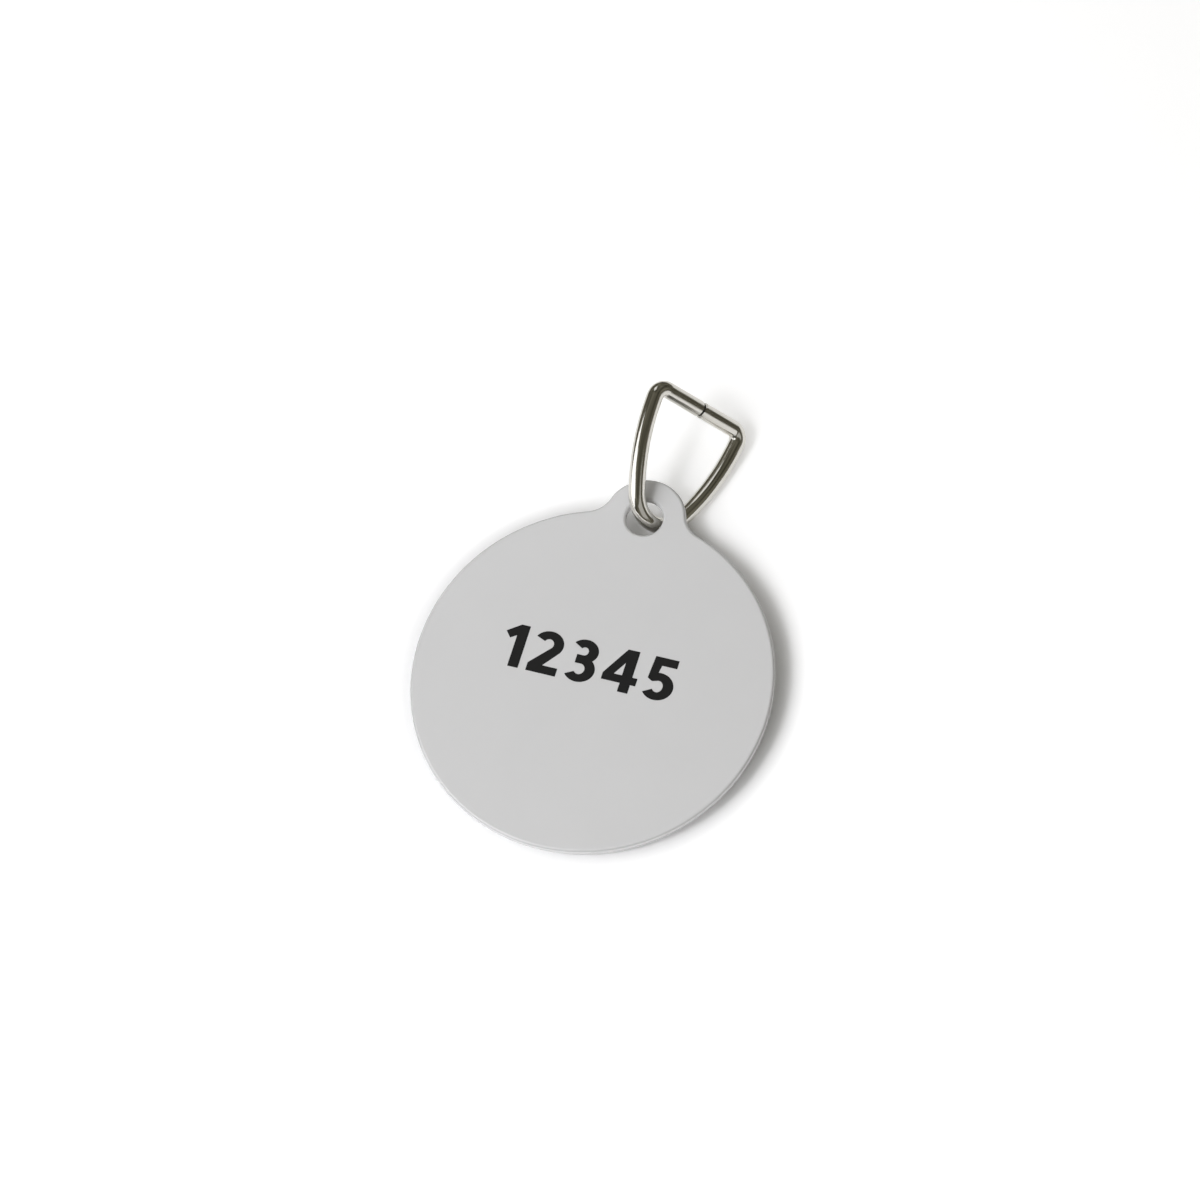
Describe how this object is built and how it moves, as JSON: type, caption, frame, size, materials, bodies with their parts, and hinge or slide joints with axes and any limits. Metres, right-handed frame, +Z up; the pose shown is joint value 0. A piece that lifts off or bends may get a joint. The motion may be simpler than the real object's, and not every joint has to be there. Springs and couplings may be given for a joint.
{
  "type": "round pet tag",
  "caption": "Round coated metal pet tag with a lug and hole, hanging on a triangular bent-wire link that loops on to a collar's ring.",
  "frame": {"origin": "on the surface that the tag lies on, under the middle of the part's box", "axes": "+Z up from that surface, +Y from the disc towards its lug, +X to the right with the printed face upwards"},
  "size_m": [0.032, 0.0434, 0.0097],
  "materials": {
    "tag_plate": "light grey satin coat on the whole blank, with a dark printed mark on the front",
    "link_ring": "polished nickel plate on steel wire"
  },
  "bodies": {
    "tag": {"tag_plate": "tag_plate"},
    "link": {"link_ring": "link_ring"}
  },
  "joints": [
    {"name": "link_swing", "type": "hinge", "parent": "tag", "child": "link", "pos_m": [-0.00002, 0.0099, 0.00314], "axis": [-0.023, -0.0858, 0.996], "range_deg": [-80, 105]}
  ]
}
